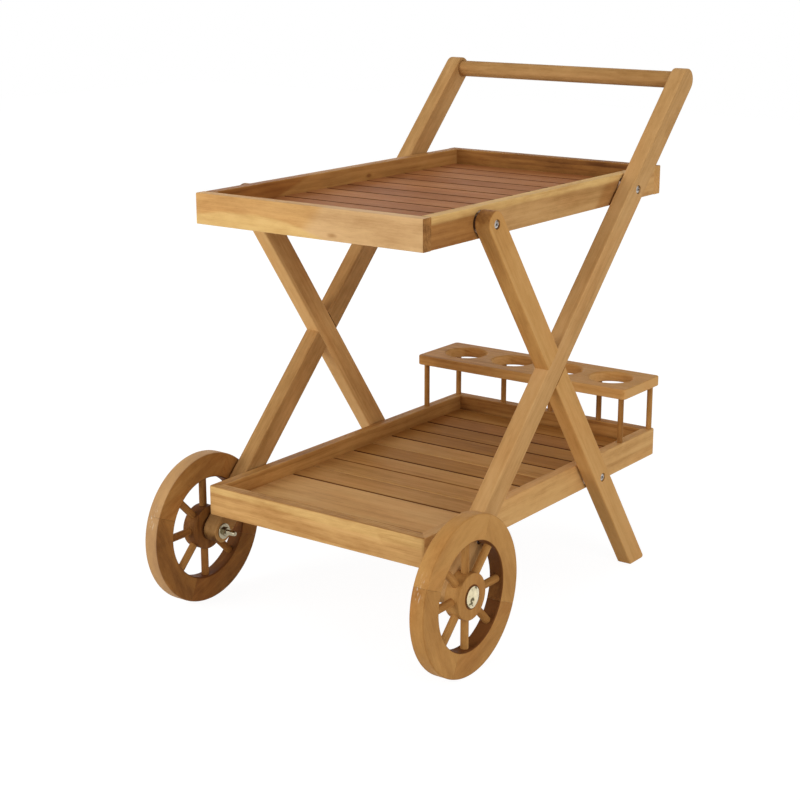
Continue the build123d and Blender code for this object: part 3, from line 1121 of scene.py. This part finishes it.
    def nut(self, name: str, height: float) -> bpy.types.Object:
        """Hexagon nut on the Z axis, with both faces chamfered.

        Args:
            name: name of the piece.
            height: its height, in millimetres.

        Returns:
            The nut.
        """
        flat, corner = self.nut_width / 2, self.nut_width / math.sqrt(3)
        bore, wide = (self.bolt_diameter + self.bore_room) / 2, corner + self.cutter_room
        chamfer = (wide - flat) * self.chamfer_slope
        piece = turn_piece(name, 6, [(corner, 0.0), (corner, height)])
        bpy.ops.object.mode_set(mode="OBJECT")
        cone = [(flat, -HAIR), (wide, chamfer), (wide, height - chamfer), (flat, height + HAIR)]
        for steps, operation in ((cone, "INTERSECT"), ([(bore, -1.0), (bore, height + 1)], "DIFFERENCE")):
            cutter = turn_piece("cutter", self.corners, steps)
            bpy.ops.object.mode_set(mode="OBJECT")
            cut_away(piece, cutter, operation)
        finish_piece(piece, 20.0)
        return piece


@dataclass
class TrayFixings:
    """Bolts that hold the trays between the side frames, each with a ring that keeps its bar off the rail."""

    steel: Metal
    ring_steel: Metal
    corners: int = 48
    shank_diameter: float = 6.0
    head_diameter: float = 14.0
    head_height: float = 4.0
    head_edge: float = 1.4
    crown_diameter: float = 6.4
    crown_steps: int = 5
    socket_width: float = 4.0
    socket_depth: float = 2.2
    solid_room: float = 35.0
    ring_bore: float = 6.8
    ring_ease: float = 0.5
    lead: float = 0.8
    turn: float = 17.0

    def build(self) -> None:
        """Make every bolt and every ring and fit them."""
        kinds = (("tray_bolts", self.bolt, self.steel), ("tray_spacers", self.ring, self.ring_steel))
        for part, make, finish in kinds:
            metal = finish.material(f"steel_{part}")
            solids = self.solids_of(part)
            for number, (low, high) in enumerate(solids, start=1):
                side = 1 if low.x > 0 else -1
                piece = make(f"{part[:-1]}_{number}", (high - low) / MM)
                top = (low + high) / 2
                top.x = high.x if side > 0 else low.x
                set_in_place(piece, top, Vector((side, 0, 0)), self.turn * number)
                fit(piece, "cart", part, metal)
            log.info("TrayFixings: %d new pieces for %s", len(solids), part)

    def solids_of(self, node: str) -> list[tuple[Vector, Vector]]:
        """Lowest and highest corner of each solid of a part whose solids stand well apart."""
        groups: list[list[Vector]] = []
        for point in (vertex.co for vertex in NODES[node].data.vertices):
            for group in groups:
                if (group[0].yz - point.yz).length < self.solid_room * MM and group[0].x * point.x > 0:
                    group.append(point)
                    break
            else:
                groups.append([point])
        return [tuple(Vector(map(pick_end, zip(*group))) for pick_end in (min, max)) for group in groups]

    def bolt(self, name: str, size: Vector) -> bpy.types.Object:
        """Button-head bolt along the Z axis, with the top of its head at the origin.

        Args:
            name: name of the piece.
            size: size of the solid that it stands for, in millimetres, with its length first.

        Returns:
            The bolt.
        """
        radius, crown, shank = self.head_diameter / 2, self.crown_diameter / 2, self.shank_diameter / 2
        seat, tip, edge = -self.head_height, -size.x, self.head_edge - self.head_height
        steps = [(shank - self.lead / 2, tip), (shank, tip + self.lead), (shank, seat)]
        steps += [(radius, seat), (radius, edge)]
        for step in range(1, self.crown_steps + 1):
            angle = math.pi / 2 * step / self.crown_steps
            steps.append((crown + (radius - crown) * math.cos(angle), edge - edge * math.sin(angle)))
        piece = turn_piece(name, self.corners, steps)
        finish_piece(piece)
        corner = self.socket_width / math.sqrt(3)
        socket = turn_piece("socket", 6, [(corner, -self.socket_depth), (corner, 1.0)])
        finish_piece(socket)
        cut_away(piece, socket, "DIFFERENCE")
        finish_piece(piece)
        return piece

    def ring(self, name: str, size: Vector) -> bpy.types.Object:
        """Ring with its top at the origin, of the size of a solid in millimetres, with its thickness first."""
        return make_ring(name, self.corners, size.y, self.ring_bore, -size.x, self.ring_ease)


@dataclass(frozen=True)
class Lamp:
    """A square lamp that looks at the cart's middle: its place and side in metres, and its power in watts."""

    name: str
    place: Triple
    side: float
    power: float

    def hang(self, target: Vector) -> None:
        """Put the lamp into the scene, turned to a point."""
        data = bpy.data.lights.new(self.name, "AREA")
        data.size = self.side
        data.energy = self.power
        lamp = bpy.data.objects.new(self.name, data)
        lamp.location = self.place
        lamp.rotation_euler = (target - Vector(self.place)).to_track_quat("-Z", "Y").to_euler()
        bpy.context.scene.collection.objects.link(lamp)


@dataclass
class Studio:
    """Pale floor, soft light and the camera."""

    camera_place: Triple = (1.49791, -2.15544, 1.02532)
    camera_right: Triple = (0.80905121, 0.58773815, 0.0)
    camera_up: Triple = (-0.15570725, 0.21433888, 0.96426869)
    camera_back: Triple = (0.5667375, -0.78014275, 0.26492622)
    lens: float = 76.578
    room_light: float = 0.5
    floor_size: float = 14.0
    floor_tone: float = 0.86
    floor_glow: float = 1.13
    glow_share: float = 0.82
    middle: Triple = (0.0, 0.0, 0.4)
    lamps: tuple[Lamp, ...] = (
        Lamp("key_light", (-1.6, -3.2, 1.4), 1.8, 52.0),
        Lamp("side_light", (3.0, -1.3, 1.4), 1.6, 34.0),
        Lamp("top_light", (0.2, 0.3, 3.0), 2.2, 5.0),
        Lamp("back_light", (-2.6, 2.6, 1.6), 2.0, 20.0),
    )

    def build(self) -> None:
        """Make the studio."""
        self.camera()
        self.floor()
        self.world()
        for lamp in self.lamps:
            lamp.hang(Vector(self.middle))
        log.info("Studio: floor, world, lamps and camera")

    def camera(self) -> None:
        """Put the camera where the photograph was taken from."""
        data = bpy.data.cameras.new("camera")
        data.lens = self.lens
        camera = bpy.data.objects.new("camera", data)
        axes = Matrix((self.camera_right, self.camera_up, self.camera_back)).transposed()
        camera.matrix_world = Matrix.Translation(self.camera_place) @ axes.to_4x4()
        bpy.context.scene.collection.objects.link(camera)
        bpy.context.scene.camera = camera

    def seen_directly(self, recipe: Recipe) -> Level:
        """Level that is 1 for what the camera, metal and glass see, and 0 for what lights the cart."""
        rays = recipe.node("ShaderNodeLightPath", {}, {}).outputs
        mirrored = recipe.maths("MAXIMUM", rays["Is Glossy Ray"], rays["Is Transmission Ray"])
        return recipe.maths("MAXIMUM", rays["Is Camera Ray"], mirrored)

    def floor(self) -> None:
        """Lay the floor, which shows white and keeps a soft shadow."""
        bpy.ops.object.select_all(action="DESELECT")
        bpy.ops.mesh.primitive_plane_add(size=self.floor_size, location=(0, 0, 0))
        plane = bpy.context.object
        plane.name = plane.data.name = "studio_floor"
        material, recipe = new_finish("pale_floor")
        matt = recipe.node("ShaderNodeBsdfDiffuse", {}, {"Color": (*(self.floor_tone,) * 3, 1.0)})
        white = recipe.node("ShaderNodeEmission", {}, {"Color": WHITE, "Strength": self.floor_glow})
        share = self.seen_directly(recipe) * self.glow_share
        blend = recipe.node("ShaderNodeMixShader", {}, {0: share, 1: matt.outputs[0], 2: white.outputs[0]})
        recipe.node("ShaderNodeOutputMaterial", {}, {0: blend.outputs[0]})
        dress(plane, material)

    def world(self) -> None:
        """Light the room evenly from all sides, behind a white background."""
        world = bpy.data.worlds.new("studio")
        world.use_nodes = True
        bpy.context.scene.world = world
        recipe = Recipe(world.node_tree)
        soft, white = (
            recipe.node("ShaderNodeBackground", {}, {"Color": WHITE, "Strength": strength}).outputs[0]
            for strength in (self.room_light, 1.0)
        )
        blend = recipe.node("ShaderNodeMixShader", {}, {0: self.seen_directly(recipe), 1: soft, 2: white})
        recipe.node("ShaderNodeOutputWorld", {}, {0: blend.outputs[0]})


# The cart's own boards

def tray_boards() -> list[Boards]:
    """Looks of the rim boards, rails, slats and battens.

    Returns:
        The groups of boards.
    """
    upper_ends = {
        "upper_front_board": Teak(
            Hue.HONEY, Cut.FLAT, 1.0, 0.44, ring_depth=0.05, streak_depth=0.3, blush=0.4,
            bands=(
                Sapwood((-10.0, -23.0), (30.0, 23.0), -1, 0.85, Hue.SAND, soft=16.0),
                Sapwood((-203.0, -8.0), (45.0, -25.0), -1, 0.95, bow=16.0, wave=7.0, soft=3.0),
            ),
            knots=(Knot(49.0, -15.0, 3.2),),
        ),
        "upper_rear_board": Teak(Hue.GOLD, Cut.RIFT, 2.0, 0.68, end_depth=-0.55),
    }
    upper_rails = {
        "upper_left_rail": Teak(
            Hue.CHESTNUT, Cut.RIFT, 3.0, 0.38, blush=0.5,
            bands=(Sapwood((-240.0, -23.0), (-90.0, 23.0), -1, 0.6, Hue.GOLD),), knots=(Knot(60.0, 6.0, 3.0),),
        ),
        "upper_right_rail": Teak(
            Hue.TAN, Cut.RIFT, 4.0, 0.46, ring_depth=0.05, blush=0.5,
            bands=(
                Sapwood((-210.0, -23.0), (-180.0, 23.0), 1, 0.85, Hue.CHESTNUT, soft=14.0),
                Sapwood((125.0, -23.0), (165.0, 23.0), -1, 0.6, Hue.CHESTNUT, soft=12.0),
                Sapwood((220.0, -23.0), (240.0, 23.0), -1, 0.9, Hue.HONEY, soft=14.0),
                Sapwood((-337.0, 13.0), (337.0, 14.0), 1, 0.95, wave=6.0, soft=3.0),
            ),
        ),
    }
    lower_ends = {
        # Painted shade on the lower front board's top face.
        "lower_front_board": Teak(
            Hue.HONEY, Cut.FLAT, 5.0, 0.45, streak_depth=0.9, ring_depth=0.12, blush=0.1, sides=(0.0, 0.3),
            bands=(Sapwood((-205.0, 13.0), (205.0, 5.0), 1, 0.8, wave=8.0, soft=3.0),),
        ),
        "lower_rear_board": Teak(Hue.GOLD, Cut.RIFT, 6.0, 0.64, end_depth=-0.35),
    }
    lower_rails = {
        "lower_left_rail": Teak(Hue.GOLD, Cut.RIFT, 7.0, 0.52),
        "lower_right_rail": Teak(Hue.HONEY, Cut.FLAT, 8.0, 0.38, ring_depth=0.05),
    }
    cuts = list(Cut)
    # Painted shade: darker arrises and side faces stand for the shade in the gaps between the slats.
    upper_slats = {
        f"upper_slat_{i:02d}": Teak(
            Hue.RUSSET, cuts[i % 3], 10.0 + i, 0.38 + 0.08 * math.sin(i * 2.3), ring_depth=0.06,
            streak_depth=0.4, specular=0.03, arris=-0.8, sides=(0.7, 0.8),
        )
        for i in range(1, 13)
    }
    # Hue of each lower slat and the darkening of its front face: painted shade where positive, painted light
    # where negative.
    lower_looks = [
        (Hue.HONEY, 0.3), (Hue.HONEY, 0.3), (Hue.GOLD, 0.9), (Hue.GOLD, -0.6), (Hue.GOLD, 0.3),
        (Hue.BROWN, 0.9), (Hue.GOLD, -0.6), (Hue.BROWN, 0.9), (Hue.BROWN, 0.3), (Hue.CHESTNUT, 0.9),
        (Hue.BROWN, 0.3),
    ]
    # Painted shade on the lower slats' rear faces and arrises, at the gaps between them.
    lower_slats = {
        f"lower_slat_{i:02d}": Teak(
            hue, cuts[i % 3], 30.0 + i, 0.36 - i * 0.01, ring_depth=0.06, streak_depth=0.7,
            specular=0.03, arris=-0.5, sides=(front, 0.7),
        )
        for i, (hue, front) in enumerate(lower_looks, start=1)
    }
    places = [f"{tray}_{place}" for tray in ("upper", "lower") for place in ("left", "centre", "right")]
    battens = {
        f"{place}_batten": Teak(Hue.CHESTNUT, Cut.QUARTER, 50.0 + i, 0.45) for i, place in enumerate(places)
    }
    rack = {"rack_board": Teak(Hue.GOLD, Cut.FLAT, 60.0, 0.36, end_depth=-0.4, drift=-0.7)}
    return [
        Boards("Upper tray ends", upper_ends, X_AXIS, Z_AXIS),
        Boards("Upper tray rails", upper_rails, Y_AXIS, Z_AXIS),
        Boards("Lower tray ends", lower_ends, X_AXIS, Z_AXIS),
        Boards("Lower tray rails", lower_rails, Y_AXIS, Z_AXIS),
        Boards("Upper tray floor", upper_slats, X_AXIS, Y_AXIS),
        Boards("Lower tray floor", lower_slats, X_AXIS, Y_AXIS),
        Boards("Battens", battens, Y_AXIS, X_AXIS),
        Boards("Rack board", rack, X_AXIS, Y_AXIS),
    ]


def bar_looks() -> dict[str, dict[str, Teak]]:
    """Looks of the handle bar and the leg of each side."""
    return {
        "left": {
            "handle_bar": Teak(Hue.TAN, Cut.RIFT, 70.0, 0.5, ring_depth=0.04, streak_depth=0.4, drift=-0.1),
            # Painted light: the left leg's faces across its width are lighter.
            "leg": Teak(
                Hue.HONEY, Cut.RIFT, 71.0, 0.48, ring_depth=0.05, streak_depth=0.4, drift=0.2,
                sides=(-0.26, -0.26),
            ),
        },
        "right": {
            "handle_bar": Teak(Hue.TAN, Cut.RIFT, 75.0, 0.34, ring_depth=0.04, streak_depth=0.4, drift=0.12),
            # Painted shade: the right leg's faces across its width are darker.
            "leg": Teak(
                Hue.GOLD, Cut.RIFT, 76.0, 0.18, ring_depth=0.05, streak_depth=0.4, drift=0.5,
                sides=(0.16, 0.16),
            ),
        },
    }


def main() -> None:
    """Dress the cart, make its fasteners and set up the studio."""
    logging.basicConfig(level=logging.INFO, format="%(message)s")
    bpy.ops.object.select_all(action="DESELECT")
    for boards in tray_boards():
        boards.finish()
    # The left wheel gets painted shade on its rim faces, spokes and hub, and painted light on its tread.
    for hand, seed, painted_face_shade in (("left", 70.0, 0.26), ("right", 75.0, 0.0)):
        SideFrame(hand, bar_looks()[hand]).finish()
        # The rims' darker arrises are painted shade on their rounded edges.
        rim = Teak(
            Hue.GOLD, Cut.FLAT, seed + 2, 0.4, ring_depth=0.02, streak_depth=0.1, fibre_depth=0.1,
            blush=0.6, arris=-0.14,
        )
        spoke = Teak(Hue.GOLD, Cut.RIFT, seed + 3, 0.6 + painted_face_shade / 2, ring_depth=0.05)
        hub = Teak(Hue.GOLD, Cut.FLAT, seed + 4, 0.46 + painted_face_shade * 1.6, ring_depth=0.03, streak_depth=0.2)
        Wheel(hand, rim, spoke, hub, painted_face_shade=painted_face_shade, painted_tread_light=painted_face_shade * 0.45).finish()
    Rods("push_handle", X_AXIS, Teak(Hue.TAN, Cut.FLAT, 80.0, 0.5, ring_depth=0.05)).finish()
    Rods("rack_posts", Z_AXIS, Teak(Hue.GOLD, Cut.RIFT, 81.0, 0.66, ring_depth=0.05)).finish()
    # Dark spots on these metals are partly painted reflection; the dome's pattern is placed so that its dark
    # patch lies where a dark reflection falls.
    zinc = Metal(swatch(176, 166, 140), swatch(96, 84, 64), 3.5, 0.2)
    dome = Metal(swatch(236, 222, 184), swatch(108, 98, 72), 9.0, 0.1, 12.0, 0.18)
    steel = Metal(swatch(196, 190, 184), swatch(104, 94, 84), 2.2, 0.08, 2.0)
    # Painted shade: the spacer rings are dark over much of them, with bright spots as painted glints.
    shaded_ring_steel = Metal(swatch(188, 176, 164), swatch(82, 58, 40), 16.0, -0.02, 7.0, 0.4)
    Axles(zinc, dome).build()
    TrayFixings(steel, shaded_ring_steel).build()
    dress(NODES["threaded_inserts"], steel.material("steel_inserts"))
    bpy.context.scene.view_settings.view_transform = "Standard"
    Studio().build()


if __name__ == "__main__":
    main()
